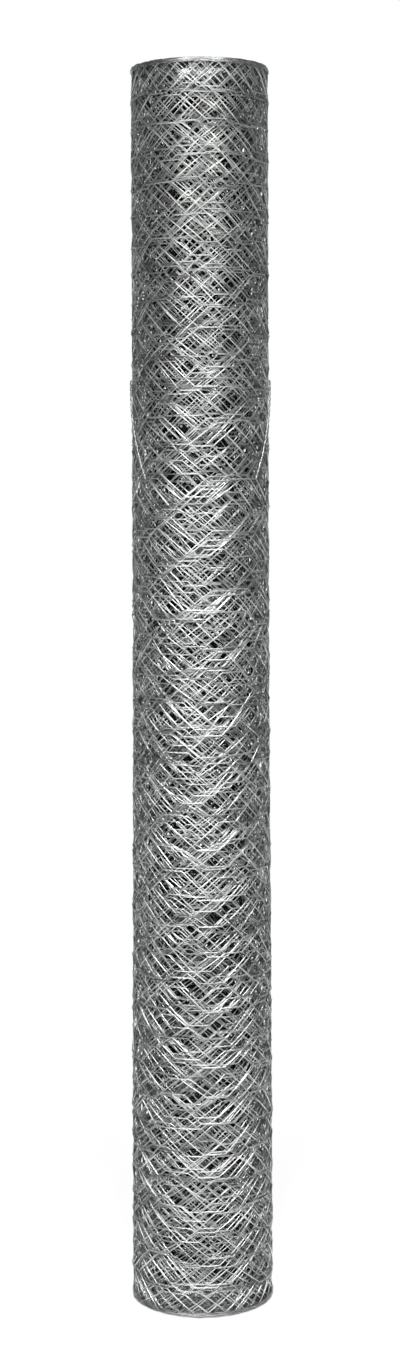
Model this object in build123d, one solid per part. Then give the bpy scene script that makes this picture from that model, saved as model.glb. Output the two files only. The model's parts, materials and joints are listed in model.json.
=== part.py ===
from build123d import *
import math
import os

# A roll of galvanised hexagonal wire netting, standing on its end, with the wire that ties it.
# Millimetres. The origin is on the floor, at the middle of the roll's lower end, and Z is the
# roll's axis. The front of the roll faces -Y.

# The netting, as it is sold
netting_width = 1219.0      # 48 inches, which is the height of the standing roll
netting_length = 15240.0    # 50 feet

# The roll, which is wound tighter at its head than at its foot. Radii are over the outer wires.
head_radius = 66.5
middle_radius = 68.1
foot_radius = 72.0
bore_radius = 22.0          # the open middle that the winding arbor left

# The selvedges on the two ends, which lie in rings, or really in one flat spiral
turns_per_ridge = 2         # neighbouring selvedges nest as a high one beside a low one
ridge_depth = 3.0           # how far a low selvedge lies below a high one
crest_width = 0.9           # one wire, lying flat along the rim and round the bore

# The tie wire, twisted shut at both sides, with its tails hanging down the front quarters
tie_height = 920.0          # of the loop above the floor
tie_diameter = 1.2
seat_clearance = 0.3        # between the loop, or a tail, and the netting under it
tail_diameter = 2.0         # over the two twisted wires
tail_turn = 39.0            # degrees from the side to the tail's end, towards the front
tail_drop = 96.0            # from the loop down to the tail's end
tail_runs = 4               # straight stretches between the bends
tail_curl = 1.15            # over 1, the tail turns more towards its end than at the loop
wire_sides = 8              # sides that a round wire's section is drawn with


def outside_radius(height):
    """The roll's outside at a height, which tapers evenly above its middle and below it."""
    middle_height = netting_width / 2
    end_radius = head_radius if height > middle_height else foot_radius
    share = abs(height - middle_height) / middle_height
    return middle_radius + (end_radius - middle_radius) * share


def end_ridges(rim_radius, end_height, inward):
    """The rim-to-bore outline of one end: a flat wire at the rim and the bore, ridges between."""
    mean_radius = (head_radius + 4 * middle_radius + foot_radius) / 6
    turns = netting_length / (math.pi * (mean_radius + bore_radius))
    ridges = max(2, round(turns / turns_per_ridge))
    pitch = (rim_radius - bore_radius - 2 * crest_width) / ridges
    outermost_crest = rim_radius - crest_width
    points = [(rim_radius, end_height), (outermost_crest, end_height)]
    for ridge in range(ridges):
        valley_radius = outermost_crest - (ridge + 0.5) * pitch
        points.append((valley_radius, end_height + inward * ridge_depth))
        points.append((outermost_crest - (ridge + 1) * pitch, end_height))
    points.append((bore_radius, end_height))
    return points


def netting_roll():
    """All the turns as one turned solid, open down the middle, with its selvedges on the ends."""
    foot = end_ridges(foot_radius, 0.0, 1)
    head = end_ridges(head_radius, netting_width, -1)
    with BuildPart() as roll:
        with BuildSketch(Plane.XZ):
            with BuildLine():
                Polyline(*foot)
                Line(foot[-1], head[-1])
                Polyline(*reversed(head))
                Polyline(head[0], (middle_radius, netting_width / 2), foot[0])
            make_face()
        revolve(axis=Axis.Z)
    return roll.part


def tail_path(side):
    """A tail's centre line, which comes round the roll as it drops. side is 1 right, -1 left."""
    # The straight runs stand off, so that their middles clear the round of the roll.
    half_run = math.radians(tail_turn / tail_runs) / 2
    points = []
    for corner in range(tail_runs + 1):
        share = corner / tail_runs
        angle = math.radians(tail_turn * share**tail_curl)
        height = tie_height - tail_drop * share
        clear_radius = outside_radius(height) + seat_clearance + tail_diameter / 2
        corner_radius = clear_radius / math.cos(half_run)
        points.append((
            side * corner_radius * math.cos(angle),
            -corner_radius * math.sin(angle),
            height,
        ))
    return points


def wire_section(centre, along, diameter):
    """A round wire's section, drawn with a few sides."""
    return Plane(origin=centre, z_dir=along) * RegularPolygon(diameter / 2, wire_sides)


def tie_wire():
    """The loop round the roll and its two tails, as the one length of wire that they are."""
    loop_radius = outside_radius(tie_height) + seat_clearance + tie_diameter / 2
    wire = revolve(wire_section((loop_radius, 0, tie_height), (0, 1, 0), tie_diameter), Axis.Z)
    for side in (-1, 1):
        path = Polyline(*tail_path(side))
        section = wire_section(path @ 0, path % 0, tail_diameter)
        wire += sweep(section, path=path, transition=Transition.RIGHT)
    return wire


os.makedirs("parts", exist_ok=True)
for name, piece in (("netting_roll", netting_roll()), ("tie_wire", tie_wire())):
    export_step(piece, f"parts/{name}.step")
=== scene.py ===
import bpy
import json
import math
import numpy as np
from mathutils import Matrix, Vector


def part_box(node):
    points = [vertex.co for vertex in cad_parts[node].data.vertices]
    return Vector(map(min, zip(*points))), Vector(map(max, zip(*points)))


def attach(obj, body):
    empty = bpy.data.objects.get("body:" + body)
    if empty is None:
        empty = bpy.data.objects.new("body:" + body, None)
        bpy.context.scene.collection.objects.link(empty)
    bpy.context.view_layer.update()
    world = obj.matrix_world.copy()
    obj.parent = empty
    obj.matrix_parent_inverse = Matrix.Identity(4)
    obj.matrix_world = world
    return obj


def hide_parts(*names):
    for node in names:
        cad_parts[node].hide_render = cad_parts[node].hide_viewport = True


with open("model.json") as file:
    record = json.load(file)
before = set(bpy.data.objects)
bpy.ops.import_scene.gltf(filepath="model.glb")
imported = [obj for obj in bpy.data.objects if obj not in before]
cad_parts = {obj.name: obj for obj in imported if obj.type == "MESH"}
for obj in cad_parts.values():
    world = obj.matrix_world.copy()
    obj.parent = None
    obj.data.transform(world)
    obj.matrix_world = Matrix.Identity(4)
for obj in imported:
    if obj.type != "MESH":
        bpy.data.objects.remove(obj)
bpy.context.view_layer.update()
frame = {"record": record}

# A roll of hexagonal wire netting on its end. Metres. A place on the roll is given by its angle
# round from the front (-Y) towards the right (+X), its height and its distance from the axis.
# Turns and hexagons are counted inwards along the winding, from the front of the outermost turn.

# The roll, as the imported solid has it
roll_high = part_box("netting_roll")[1]
NETTING_WIDTH = float(roll_high[2])
FOOT_RADIUS = float(roll_high[0])
HEAD_RADIUS = 0.0665
MIDDLE_RADIUS = 0.0681
BORE_RADIUS = next(m["dims"]["r_mm"] for m in frame["record"]["mounts"] if m["name"] == "bore") / 1000

# The winding
TURNS = 53.6                  # from the netting's outer end to the bore
OUTER_END_TURNS = 0.42        # from that end to the front of the roll
HEXAGONS_A_TURN = 4.0         # in the outer turns
EVEN_TURNS = 36.0             # turns in, from where a turn holds fewer hexagons than that
OUTER_TIGHTNESS = 2.1         # over 1, the outer turns lie closer together than the inner ones
OUTSIDE_GAP = (0.0012, 0.0004)  # from the solid's outside in to the outermost wires
OUTSIDE_GAP_AT = (0, 0.2)     # the heights of those two gaps
BORE_GAP = 0.0012             # from the solid's bore out to the innermost wires
TABLE_LENGTH = 4000           # places along the winding that its table holds

# From turn to turn the netting sways forth and back along itself, and its rows rise and fall. A
# whole sway or rise goes from one side to the other. Lists give values at these shares of the height.
SHARES_UP = (0, 0.2, 0.4, 0.5, 0.6, 0.8, 1.0)
SWAY_SIZE = (0.46, 0.44, 0.44, 0.48, 0.46, 0.44, 0.46)         # half a sway, in hexagons
SWAY_START = (0.35, 0.25, 0.1, 0.3, 0.55, 0.4, 0.3)            # sways already made at turn 0
SWAY_A_TURN = 0.16            # sways
RISE_SIZE = (0.012, 0.012, 0.012, 0.010, 0.011, 0.010, 0.007)  # half a rise, in metres
RISE_START = 0.4              # rises already made at turn 0
RISE_A_TURN = 0.23            # rises
SLOPE = (0, -0.03, 0, 0.03, 0.08, 0.06, 0)                     # metres up for each metre of sway

# The netting
ROWS = 44                     # rows of half a hexagon, from the lower selvedge to the upper
WIRE_RADIUS = 0.00045
TWIST_SHARE = 0.200           # of a hexagon's length, taken by its twist
TWIST_SPREAD = (0.9, 1.12)    # the shortest and the longest twist, beside that
TWIST_TURNS = 2               # whole turns of the two wires round each other
TWIST_OFFSET = 0.00045        # from the twist's middle to each wire's middle
RUN_SAG = 0.0005              # of a run between two twists, inwards at its middle
ALONG_NOISE = 0.007           # of each twist by itself, in hexagons
ALONG_WANDER = 0.020          # of twists together, in hexagons
ALONG_WANDER_HALVES = 9       # half hexagons from one knot of that to the next
UP_NOISE = 0.0011             # the same, up and down, in metres
UP_WANDER = 0.006
UP_WANDER_HALVES = 5
WANDER_ROWS = 6               # rows from one knot to the next
OUT_NOISE = 0.00018           # of each twist out of the netting's plane

# The two edges. The outer turns are pulled longer, which leaves them narrower.
HEAD_GAP = 0.0031             # from the solid's upper end down to the selvedge
FOOT_GAP = 0.0032             # from its lower end up to the selvedge
HEAD_NARROWING = 0.0017       # how much wider the gaps are on the outermost turn
FOOT_NARROWING = 0.00255
NARROWED_TURNS = 7            # over which that fades
NARROWING_POWER = 1.5         # over 1, it fades fast at first and then slowly
EDGE_NOISE = 0.0021           # of both gaps
EDGE_NOISE_HALVES = 1.6       # half hexagons from one knot of that to the next
STIFF_SHARE = 1 / 16          # of the height, from each end: rows further in move freely
STIFF_POWER = 0.7             # under 1, they get free sooner
SELVEDGE_TURNS = 1.5          # of its two wires round each other, in half a hexagon
SELVEDGE_STEPS = 8            # that each of them is drawn with, in half a hexagon
SELVEDGE_TONES = 3            # duller and brighter places in half a hexagon
SELVEDGE_SIDES = 3

# How bright the zinc's colour is, from 0 to 1, with painted shade in twists and selvedges. It is dull
# on one stretch of wire and bright on the next.
RUN_BRIGHTEST = 1.0
# twists and selvedges stay darker than runs, as painted shade for the shade between their twisted
# wires
TWIST_SHADED_BRIGHTEST = 0.55
STRAIGHT_TWIST_PAINTED_SHADE = 0.6     # of a twist's, where two straight wires are drawn in its place: painted shade for the twisting they lack
SELVEDGE_SHADED_BRIGHTEST = 0.45

# Outer turns are seen close, so they get round wires and full twists, and inner turns get fewer
# sides. The turns are parted so that none of the pieces gets too big.
LEVELS = (
    # turns, sides, steps in a twist, steps in a run between twists
    (2, 6, 12, 3),
    (4, 4, 10, 3),
    (8, 4, 6, 2),
    (14, 4, 1, 2),
    (15, 4, 1, 2),
    (TURNS, 3, 1, 2),  # all that are left
)

# The tie wire
TIE_HEIGHT = 0.920
TIE_WIRE_RADIUS = 0.00051
TIE_SIDES = 6
LOOP_GAP = 0.0002             # from the solid roll's outside to the middle of the loop's wire
LOOP_STEPS = 120
TAIL_GAP = 0.0006             # from the same to a tail's middle
TAIL_OFFSET = 0.0005          # from a tail's middle to each wire's middle
TAIL_TURN = math.radians(39)  # from the side to the tail's end, towards the front
TAIL_CURL = 1.15              # over 1, the tail turns more towards its end than at the loop
TAIL_DROP = 0.096
TAIL_TWISTS = 9
TAIL_POINTS = 90

# The zinc's look, with painted shade deep in the roll
METALLIC = 0.88
SHADE_PAINT_START_DEPTH = 0.009          # from the roll's outside in, to where the painted shade starts to darken the colour
SHADE_PAINT_FULL_DEPTH = 0.019            # and to where the painted shade is darkest
PAINTED_DEEP_BRIGHTNESS = 0.04             # how bright the colour is there under the painted shade, beside that outside
SMOOTHER = 0.1                # how far the roughness goes down and up from its own value
ROUGHER = 0.06
PATCH_SCALE = 160             # patches in a metre
PATCH_DETAIL = 3
GRAIN_SCALE = 1500            # grains in a metre
GRAIN_DETAIL = 2
GRAIN_STRENGTH = 0.05
GRAIN_HEIGHT = 0.0001

# The room
FLOOR_RADIUS = 6
FLOOR_SIDES = 96
FLOOR_GREY = 0.9
SHADOW_DISTANCE = 0.1         # from the roll's axis, to where its shadow starts to fade
WHITE_DISTANCE = 0.7          # and to where the floor is plain white
WHITE_AT_ROLL = 0.75          # of plain white, on the floor at the roll
ROOM_WHITE = 0.02             # of the white background, that is left behind the camera
FLOOR_DIMMING = (-0.3, 1.5)   # places on Y, from that darkness to full white
WORLD_DIMMING = (0.4, 0.95)   # the same in the world, on the Y of a direction
WORLD_LIGHT = 0.04            # how strongly the world itself lights the roll

# Lamps. Those with a twin on the left are given as on the right.
FRONT_LIGHT_AT = (0.6, -1.6, 1.4)
FRONT_LIGHT_TO = (0, 0, 1)
FRONT_LIGHT_SIZE = 0.3
FRONT_LIGHT_POWER = 33
HIGH_LIGHT_AT = (0.15, -1.5, 2.2)
HIGH_LIGHT_TO = (0, 0, 0.04)
HIGH_LIGHT_SIZE = 0.12
HIGH_LIGHT_CONE = math.radians(34)
HIGH_LIGHT_POWER = 185
BACK_LIGHT_AT = (0, 2.4, 1.4)
BACK_LIGHT_TO = (0, 0, 0.6)
BACK_LIGHT_SIZE = 1
BACK_LIGHT_POWER = 28

# Camera
CAMERA_DISTANCE = 2.165
CAMERA_HEIGHT = 0.830
CAMERA_SIDE = -0.0012
CAMERA_PITCH = math.radians(5.51)
CAMERA_LEAN = math.radians(0.17)
SENSOR_SIZE = 36
FOCAL_PIXELS = 2196
PICTURE_HEIGHT = 1370

rng = np.random.default_rng(20)


def outside_radius(height):
    """The roll's outside: it tapers evenly above its middle and below it."""
    middle = NETTING_WIDTH / 2
    end = np.where(height > middle, HEAD_RADIUS, FOOT_RADIUS)
    return MIDDLE_RADIUS + (end - MIDDLE_RADIUS) * np.abs(height - middle) / middle


def zigzag(place):
    """A wave that goes evenly from 1 to -1 and back, one way for each whole number."""
    return 2 * np.abs(place % 2 - 1) - 1


def radius_share(turns_in):
    """The radius of a turn beside that of the outermost, as if all turns were equally thick."""
    return 1 - (1 - BORE_RADIUS / MIDDLE_RADIUS) * turns_in / TURNS


# The winding as a table: places by turns, and how many hexagons in each of them lies. The outer
# turns hold the same number of hexagons each, and those further in hold fewer, as they are shorter.
turns_table = np.linspace(-OUTER_END_TURNS, TURNS - OUTER_END_TURNS, TABLE_LENGTH)
share_held = np.minimum(1, radius_share(turns_table) / radius_share(EVEN_TURNS))
held = HEXAGONS_A_TURN * share_held
hexagons_between = (held[1:] + held[:-1]) / 2 * np.diff(turns_table)
hexagons_table = np.concatenate([[0], np.cumsum(hexagons_between)])
hexagons_table -= np.interp(0, turns_table, hexagons_table)

# Twists lie half a hexagon apart, and these count the half hexagons.
first_half = math.ceil(hexagons_table[0] * 2)
last_half = math.floor(hexagons_table[-1] * 2)
halves = last_half - first_half + 1


def sway(turns_in, height):
    """How many hexagons the netting lies ahead of the even winding."""
    share = height / NETTING_WIDTH
    size = np.interp(share, SHARES_UP, SWAY_SIZE)
    start = np.interp(share, SHARES_UP, SWAY_START)
    return size * zigzag(start + turns_in * SWAY_A_TURN)


def on_roll(hexagons, height, lift):
    """Points of the netting: so many hexagons in, this high, and this far out of its plane."""
    turns_in = np.interp(hexagons, hexagons_table, turns_table)
    angle = 2 * math.pi * (turns_in + sway(turns_in, height) / HEXAGONS_A_TURN)
    outermost = outside_radius(height) - np.interp(height, OUTSIDE_GAP_AT, OUTSIDE_GAP)
    depth = ((turns_in + OUTER_END_TURNS) / TURNS) ** OUTER_TIGHTNESS
    radius = outermost - (outermost - BORE_RADIUS - BORE_GAP) * depth + lift
    return np.stack([radius * np.sin(angle), -radius * np.cos(angle), height], axis=-1)


def joined(knots, place):
    """What lies at these places among the knots, or rows of knots, with cosines between them."""
    low = place.astype(int)
    share = (1 - np.cos((place - low) * math.pi)) / 2
    return (knots[low].T * (1 - share) + knots[low + 1].T * share).T


def smooth_noise(count, spacing, size):
    """A line of numbers that wander smoothly between random knots this far apart."""
    knots = rng.uniform(-size, size, int(count / spacing) + 3)
    return joined(knots, np.arange(count) / spacing)


def wander(halves_apart, size):
    """Numbers for every twist that wander smoothly along the netting and from row to row."""
    lines = [smooth_noise(halves, halves_apart, size) for _ in range(ROWS // WANDER_ROWS + 3)]
    return joined(np.array(lines), np.arange(ROWS + 1) / WANDER_ROWS)


# Tables with a row for each row of twists, and a column for each half hexagon
table_size = (ROWS + 1, halves)
share_up = np.arange(ROWS + 1)[:, None] / ROWS
even_along = np.arange(first_half, last_half + 1) / 2
twist_along = even_along + rng.normal(0, ALONG_NOISE, table_size)
twist_along += wander(ALONG_WANDER_HALVES, ALONG_WANDER)

twist_turn = np.interp(even_along, hexagons_table, turns_table)
narrowed = np.clip(1 - (twist_turn + OUTER_END_TURNS) / NARROWED_TURNS, 0, 1) ** NARROWING_POWER
head_gap = HEAD_GAP + HEAD_NARROWING * narrowed + smooth_noise(halves, EDGE_NOISE_HALVES, EDGE_NOISE)
foot_gap = FOOT_GAP + FOOT_NARROWING * narrowed + smooth_noise(halves, EDGE_NOISE_HALVES, EDGE_NOISE)
twist_height = foot_gap + share_up * (NETTING_WIDTH - head_gap - foot_gap)

freedom = np.clip(np.minimum(share_up, 1 - share_up) / STIFF_SHARE, 0, 1) ** STIFF_POWER
rise_size = np.interp(share_up, SHARES_UP, RISE_SIZE)
twist_height += freedom * rise_size * zigzag(RISE_START + twist_turn * RISE_A_TURN)
hexagon_length = 2 * math.pi * MIDDLE_RADIUS / HEXAGONS_A_TURN
swayed = hexagon_length * sway(twist_turn, share_up * NETTING_WIDTH)
twist_height += np.interp(share_up, SHARES_UP, SLOPE) * swayed
unevenness = rng.normal(0, UP_NOISE, table_size) + wander(UP_WANDER_HALVES, UP_WANDER)
twist_height += freedom * unevenness

twist_lift = rng.normal(0, OUT_NOISE, table_size)
twist_half = TWIST_SHARE / 2 * rng.uniform(*TWIST_SPREAD, table_size)
# Twists are darker than runs: painted shade between their twisted wires.
twist_tone = TWIST_SHADED_BRIGHTEST * (1 - rng.uniform(0, 1, table_size) ** 2)
run_tone = RUN_BRIGHTEST * (1 - rng.uniform(0, 1, table_size) ** 2)


def strand(row, half_from, half_to, twist_steps, run_steps):
    """The wire that zigzags between this row and the next one up, over these half hexagons.

    It is given as its path, and how bright its colour is at each point of the path, with its twists
    darkened as painted shade.
    """
    columns = np.arange(half_from, half_to + 1)
    # Odd rows twist at whole hexagons, and even rows between them.
    odd_row, even_row = (row, row + 1) if row % 2 else (row + 1, row)
    rows = np.where((columns + first_half) % 2 == 0, odd_row, even_row)
    share = np.linspace(0, 1, twist_steps + 1)
    # The two wires of a twist lie on opposite sides of it: this one comes from above or below.
    side = np.where(rows == row + 1, math.pi, 0.0)[:, None]
    turn = side + 2 * math.pi * TWIST_TURNS * share
    along = twist_along[rows, columns][:, None] + twist_half[rows, columns][:, None] * (2 * share - 1)
    up = twist_height[rows, columns][:, None] + TWIST_OFFSET * np.cos(turn)
    out = twist_lift[rows, columns][:, None] + TWIST_OFFSET * np.sin(turn)
    twists = np.stack([along, up, out], axis=-1)
    # The runs go from the end of each twist to the start of the next one.
    inside = np.linspace(0, 1, run_steps + 1)[1:-1]
    ends, starts = twists[:, -1:], np.roll(twists[:, :1], -1, axis=0)
    runs = ends * (1 - inside)[:, None] + starts * inside[:, None]
    runs[:, :, 2] -= RUN_SAG * np.sin(inside * math.pi)
    path = np.concatenate([twists, runs], axis=1).reshape(-1, 3)
    # Twists drawn as two straight wires are darker still: painted shade for the twisting they lack.
    straight_twist_shade = STRAIGHT_TWIST_PAINTED_SHADE if twist_steps == 1 else 1.0
    on_twists = np.repeat(twist_tone[rows, columns][:, None] * straight_twist_shade, twist_steps + 1, axis=1)
    on_runs = np.repeat(run_tone[row, columns][:, None], run_steps - 1, axis=1)
    tone = np.concatenate([on_twists, on_runs], axis=1).ravel()
    # It stops at the end of the last twist.
    count = len(path) - (run_steps - 1)
    return on_roll(*path[:count].T), tone[:count]


def selvedge(row, phase):
    """One of the two wires that twist round each other along an edge, and how bright its colour is,
    kept dark as painted shade.
    """
    column = np.linspace(0, halves - 1, (halves - 1) * SELVEDGE_STEPS + 1)
    height = np.interp(column, np.arange(halves), twist_height[row])
    turn = phase + column * 2 * math.pi * SELVEDGE_TURNS
    tones = rng.uniform(0, SELVEDGE_SHADED_BRIGHTEST, halves * SELVEDGE_TONES)
    tone = np.interp(column * SELVEDGE_TONES, np.arange(len(tones)), tones)
    up = height + TWIST_OFFSET * np.cos(turn)
    return on_roll((column + first_half) / 2, up, TWIST_OFFSET * np.sin(turn)), tone


def tie_loop():
    """The path of the tie wire round the roll."""
    angle = np.linspace(0, 2 * math.pi, LOOP_STEPS + 1)
    radius = outside_radius(np.array(TIE_HEIGHT)) + LOOP_GAP
    height = np.full(LOOP_STEPS + 1, TIE_HEIGHT)
    return np.stack([radius * np.sin(angle), -radius * np.cos(angle), height], axis=-1)


def tie_tail(side, phase):
    """The path of one of a tail's two twisted wires. side is 1 right, -1 left."""
    share = np.linspace(0, 1, TAIL_POINTS)
    height = TIE_HEIGHT - TAIL_DROP * share
    turn = phase + share * 2 * math.pi * TAIL_TWISTS
    radius = outside_radius(height) + TAIL_GAP + TAIL_OFFSET * np.sin(turn)
    angle = math.radians(90) - TAIL_TURN * share**TAIL_CURL + TAIL_OFFSET * np.cos(turn) / radius
    return np.stack([side * radius * np.sin(angle), -radius * np.cos(angle), height], axis=-1)


def unit(vectors):
    """Vectors of the same directions, one long."""
    return vectors / np.linalg.norm(vectors, axis=1, keepdims=True)


def rings(path, radius, sides):
    """A ring of points round each point of a path, square to the path."""
    along = unit(np.gradient(path, axis=0))
    across = unit(np.cross(along, unit(path * [1, 1, 0])))
    out = np.cross(across, along)
    turn = (np.arange(sides) * 2 * math.pi / sides)[:, None]
    return path[:, None] + radius * (np.cos(turn) * out[:, None] + np.sin(turn) * across[:, None])


def wire_mesh(name, paths, wire_radius, sides):
    """One mesh of round wires with closed ends."""
    # A wire drawn with few sides is as wide on average as a round one.
    wire_radius = wire_radius * math.pi / (sides * math.sin(math.pi / sides))
    around = np.arange(sides)
    verts, quads, caps = [], [], []
    start = 0
    for path in paths:
        verts.append(rings(path, wire_radius, sides).reshape(-1, 3))
        ring_starts = start + np.arange(len(path)) * sides
        first = ring_starts[:-1, None] + around
        second = ring_starts[:-1, None] + (around + 1) % sides
        quads.append(np.stack([first, second, second + sides, first + sides], axis=-1).reshape(-1, 4))
        caps.append(ring_starts[0] + around[::-1])
        caps.append(ring_starts[-1] + around)
        start += len(path) * sides
    verts, quads, caps = np.concatenate(verts), np.concatenate(quads), np.array(caps)
    mesh = bpy.data.meshes.new(name)
    mesh.vertices.add(len(verts))
    mesh.vertices.foreach_set("co", verts.astype(np.float32).ravel())
    corners = np.concatenate([quads.ravel(), caps.ravel()])
    mesh.loops.add(len(corners))
    mesh.loops.foreach_set("vertex_index", corners.astype(np.int32))
    face_sizes = np.repeat([4, sides], [len(quads), len(caps)])
    face_starts = np.cumsum(face_sizes) - face_sizes
    mesh.polygons.add(len(face_sizes))
    mesh.polygons.foreach_set("loop_start", face_starts.astype(np.int32))
    mesh.polygons.foreach_set("use_smooth", np.repeat([True, False], [len(quads), len(caps)]))
    mesh.update(calc_edges=True)
    mesh.validate()
    return mesh, verts


def tubes(name, wires, wire_radius, sides, material):
    """A piece made of round wires, each given as its path and its colour's brightness along it,
    painted shade included.
    """
    paths, tones = zip(*wires)
    mesh, verts = wire_mesh(name, paths, wire_radius, sides)
    inward = outside_radius(verts[:, 2]) - np.hypot(verts[:, 0], verts[:, 1])
    from_ends = np.minimum(verts[:, 2], NETTING_WIDTH - verts[:, 2])
    # deep: how far a point lies in from the roll's outside or an end; the zinc material darkens its
    # colour with it as painted shade
    for attribute, values in (
        ("deep", np.minimum(inward, from_ends)),
        ("tone", np.repeat(np.concatenate(tones), sides)),
    ):
        mesh.attributes.new(attribute, "FLOAT", "POINT").data.foreach_set("value", values)
    mesh.materials.append(material)
    piece = bpy.data.objects.new(name, mesh)
    bpy.context.scene.collection.objects.link(piece)
    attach(piece, "root")
    return piece


def attribute_value(tree, name):
    """What the mesh stores at its points under this name."""
    node = tree.nodes.new("ShaderNodeAttribute")
    node.attribute_name = name
    return node.outputs["Fac"]


def noise_value(tree, scale, detail):
    """Smooth noise through the piece."""
    place = tree.nodes.new("ShaderNodeTexCoord")
    node = tree.nodes.new("ShaderNodeTexNoise")
    node.inputs["Scale"].default_value = scale
    node.inputs["Detail"].default_value = detail
    tree.links.new(place.outputs["Object"], node.inputs["Vector"])
    return node.outputs["Fac"]


def mapped(tree, value, from_range, to_range, smooth=False):
    """A value carried from one range over to the other, and kept inside it."""
    node = tree.nodes.new("ShaderNodeMapRange")
    if smooth:
        node.interpolation_type = "SMOOTHSTEP"
    node.inputs["From Min"].default_value = from_range[0]
    node.inputs["From Max"].default_value = from_range[1]
    node.inputs["To Min"].default_value = to_range[0]
    node.inputs["To Max"].default_value = to_range[1]
    tree.links.new(value, node.inputs["Value"])
    return node.outputs["Result"]


def combined(tree, operation, first, second):
    """One value from two."""
    node = tree.nodes.new("ShaderNodeMath")
    node.operation = operation
    tree.links.new(first, node.inputs[0])
    tree.links.new(second, node.inputs[1])
    return node.outputs[0]


def zinc(name, dark, light, roughness):
    """Galvanised wire: its tone goes from dark to light, darkened deep in the roll as painted shade,
    with rougher patches and a fine grain.
    """
    material = bpy.data.materials.new(name)
    material.use_nodes = True
    tree = material.node_tree
    shader = tree.nodes["Principled BSDF"]
    shader.inputs["Metallic"].default_value = METALLIC
    tint = tree.nodes.new("ShaderNodeValToRGB")
    tint.color_ramp.elements[0].color = (*dark, 1)
    tint.color_ramp.elements[1].color = (*light, 1)
    tree.links.new(attribute_value(tree, "tone"), tint.inputs["Fac"])
    # Painted shade: the colour darkens with depth in the roll, as the light hardly gets down between
    # the turns.
    deep = attribute_value(tree, "deep")
    painted_depth_shade = mapped(tree, deep, (SHADE_PAINT_START_DEPTH, SHADE_PAINT_FULL_DEPTH), (1, PAINTED_DEEP_BRIGHTNESS), smooth=True)
    colour = tree.nodes.new("ShaderNodeVectorMath")
    colour.operation = "SCALE"
    tree.links.new(tint.outputs["Color"], colour.inputs["Vector"])
    tree.links.new(painted_depth_shade, colour.inputs["Scale"])
    tree.links.new(colour.outputs["Vector"], shader.inputs["Base Color"])
    patches = noise_value(tree, PATCH_SCALE, PATCH_DETAIL)
    rough = mapped(tree, patches, (0, 1), (roughness - SMOOTHER, roughness + ROUGHER))
    tree.links.new(rough, shader.inputs["Roughness"])
    bump = tree.nodes.new("ShaderNodeBump")
    bump.inputs["Strength"].default_value = GRAIN_STRENGTH
    bump.inputs["Distance"].default_value = GRAIN_HEIGHT
    tree.links.new(noise_value(tree, GRAIN_SCALE, GRAIN_DETAIL), bump.inputs["Height"])
    tree.links.new(bump.outputs["Normal"], shader.inputs["Normal"])
    return material


def seen_directly(tree, place, dimming):
    """1 for rays from the camera, and for those that a shiny or clear surface sends on.

    What the shiny wires see dims towards the front, where the room is dark behind the camera.
    place is a vector whose Y grows towards the back. dimming is its Y at the darkest and at white.
    """
    parts = tree.nodes.new("ShaderNodeSeparateXYZ")
    tree.links.new(place, parts.inputs["Vector"])
    room = mapped(tree, parts.outputs["Y"], dimming, (ROOM_WHITE, 1), smooth=True)
    rays = tree.nodes.new("ShaderNodeLightPath")
    glossy = combined(tree, "MULTIPLY", rays.outputs["Is Glossy Ray"], room)
    seen = combined(tree, "MAXIMUM", rays.outputs["Is Camera Ray"], glossy)
    return combined(tree, "MAXIMUM", seen, rays.outputs["Is Transmission Ray"])


def white_paper():
    """The floor, which shows the roll's shadow near the roll and is plain white away from it."""
    material = bpy.data.materials.new("paper")
    material.use_nodes = True
    tree = material.node_tree
    shader = tree.nodes["Principled BSDF"]
    shader.inputs["Base Color"].default_value = (FLOOR_GREY, FLOOR_GREY, FLOOR_GREY, 1)
    shader.inputs["Roughness"].default_value = 1
    shader.inputs["Specular IOR Level"].default_value = 0
    place = tree.nodes.new("ShaderNodeTexCoord").outputs["Object"]
    distance = tree.nodes.new("ShaderNodeVectorMath")
    distance.operation = "LENGTH"
    tree.links.new(place, distance.inputs[0])
    away = distance.outputs["Value"]
    white = mapped(tree, away, (SHADOW_DISTANCE, WHITE_DISTANCE), (WHITE_AT_ROLL, 1), smooth=True)
    glow = tree.nodes.new("ShaderNodeEmission")
    mix = tree.nodes.new("ShaderNodeMixShader")
    share = combined(tree, "MULTIPLY", seen_directly(tree, place, FLOOR_DIMMING), white)
    tree.links.new(share, mix.inputs["Fac"])
    tree.links.new(shader.outputs["BSDF"], mix.inputs[1])
    tree.links.new(glow.outputs["Emission"], mix.inputs[2])
    tree.links.new(mix.outputs["Shader"], tree.nodes["Material Output"].inputs["Surface"])
    return material


def white_world():
    """A white background, which lights the roll only softly."""
    world = bpy.data.worlds.new("studio")
    world.use_nodes = True
    tree = world.node_tree
    background = tree.nodes["Background"]
    background.inputs["Color"].default_value = (1, 1, 1, 1)
    direction = tree.nodes.new("ShaderNodeTexCoord").outputs["Generated"]
    direct = seen_directly(tree, direction, WORLD_DIMMING)
    strength = mapped(tree, direct, (0, 1), (WORLD_LIGHT, 1))
    tree.links.new(strength, background.inputs["Strength"])
    return world


def add_light(name, kind, place, target, power, side=1):
    """A lamp that points at a target. side -1 mirrors its place to the left."""
    light = bpy.data.lights.new(name, kind)
    light.energy = power
    lamp = bpy.data.objects.new(name, light)
    bpy.context.scene.collection.objects.link(lamp)
    lamp.location = (side * place[0], place[1], place[2])
    lamp.rotation_euler = (lamp.location - Vector(target)).to_track_quat("Z", "Y").to_euler()
    return light


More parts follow.
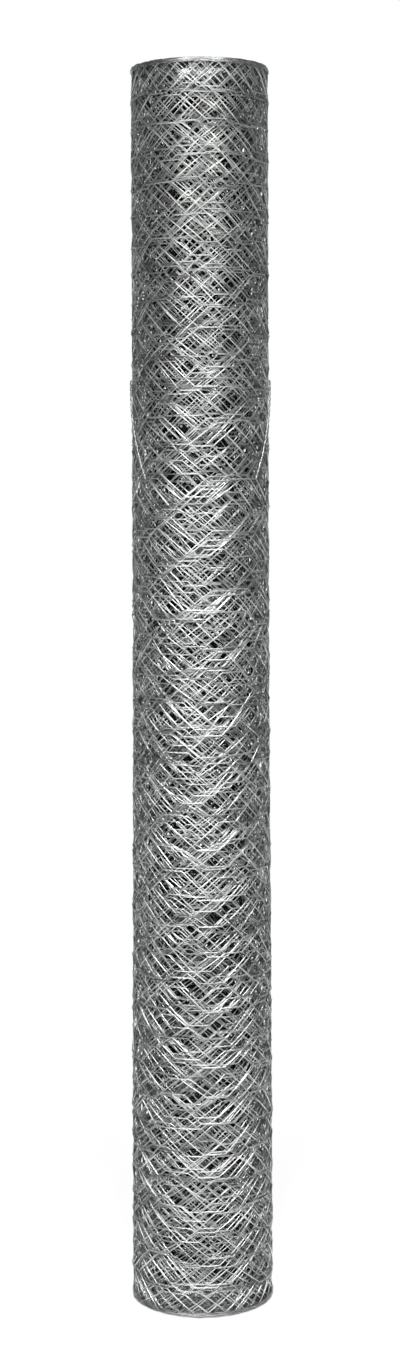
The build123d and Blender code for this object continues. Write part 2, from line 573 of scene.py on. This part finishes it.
# Netting
netting_zinc = zinc(
    "netting_zinc", dark=(0.12, 0.124, 0.122), light=(0.64, 0.659, 0.652), roughness=0.42
)
netting_pieces = []
half_from = 0
turns_done = -OUTER_END_TURNS
for number, (turns, sides, twist_steps, run_steps) in enumerate(LEVELS, 1):
    turns_done = min(turns_done + turns, turns_table[-1])
    hexagons_done = np.interp(turns_done, turns_table, hexagons_table)
    half_to = min(int(hexagons_done * 2) - first_half, halves - 1)
    wires = [strand(row, half_from, half_to, twist_steps, run_steps) for row in range(ROWS)]
    name = f"netting_turns_{number}"
    netting_pieces.append(tubes(name, wires, WIRE_RADIUS, sides, netting_zinc))
    half_from = half_to
for name, row in (("foot_selvedge", 0), ("head_selvedge", ROWS)):
    wires = [selvedge(row, phase) for phase in (0, math.pi)]
    netting_pieces.append(tubes(name, wires, WIRE_RADIUS, SELVEDGE_SIDES, netting_zinc))
for piece in netting_pieces:
    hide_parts("netting_roll")

# Tie wire: the loop, and the two twisted tails
tie_zinc = zinc("tie_zinc", dark=(0.14, 0.145, 0.143), light=(0.40, 0.412, 0.408), roughness=0.40)
tie_paths = [tie_loop()]
for side in (-1, 1):
    for phase in (0, math.pi):
        tie_paths.append(tie_tail(side, phase))
wires = [(path, rng.uniform(0, 1, len(path))) for path in tie_paths]
tie = tubes("tie_wire_twisted", wires, TIE_WIRE_RADIUS, TIE_SIDES, tie_zinc)
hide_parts("tie_wire")

# Floor and background
bpy.ops.mesh.primitive_circle_add(vertices=FLOOR_SIDES, radius=FLOOR_RADIUS, fill_type="NGON")
floor = bpy.context.object
floor.name = "floor"
floor.data.materials.append(white_paper())
bpy.context.scene.world = white_world()

# Lamps
for side in (-1, 1):
    front_light = add_light(
        f"front_light_{side}", "AREA", FRONT_LIGHT_AT, FRONT_LIGHT_TO, FRONT_LIGHT_POWER, side
    )
    front_light.shape = "DISK"
    front_light.size = FRONT_LIGHT_SIZE
    high_light = add_light(
        f"high_light_{side}", "SPOT", HIGH_LIGHT_AT, HIGH_LIGHT_TO, HIGH_LIGHT_POWER, side
    )
    high_light.shadow_soft_size = HIGH_LIGHT_SIZE
    high_light.spot_size = HIGH_LIGHT_CONE
    high_light.spot_blend = 1
back_light = add_light("back_light", "AREA", BACK_LIGHT_AT, BACK_LIGHT_TO, BACK_LIGHT_POWER)
back_light.shape = "DISK"
back_light.size = BACK_LIGHT_SIZE

# Camera
camera = bpy.data.cameras.new("camera")
camera.sensor_width = SENSOR_SIZE
camera.lens = SENSOR_SIZE * FOCAL_PIXELS / PICTURE_HEIGHT
eye = bpy.data.objects.new("camera", camera)
bpy.context.scene.collection.objects.link(eye)
eye.matrix_world = (
    Matrix.Translation((CAMERA_SIDE, -CAMERA_DISTANCE, CAMERA_HEIGHT))
    @ Matrix.Rotation(math.radians(90) - CAMERA_PITCH, 4, "X")
    @ Matrix.Rotation(-CAMERA_LEAN, 4, "Z")
)
bpy.context.scene.camera = eye

bpy.context.scene.view_settings.view_transform = "Standard"
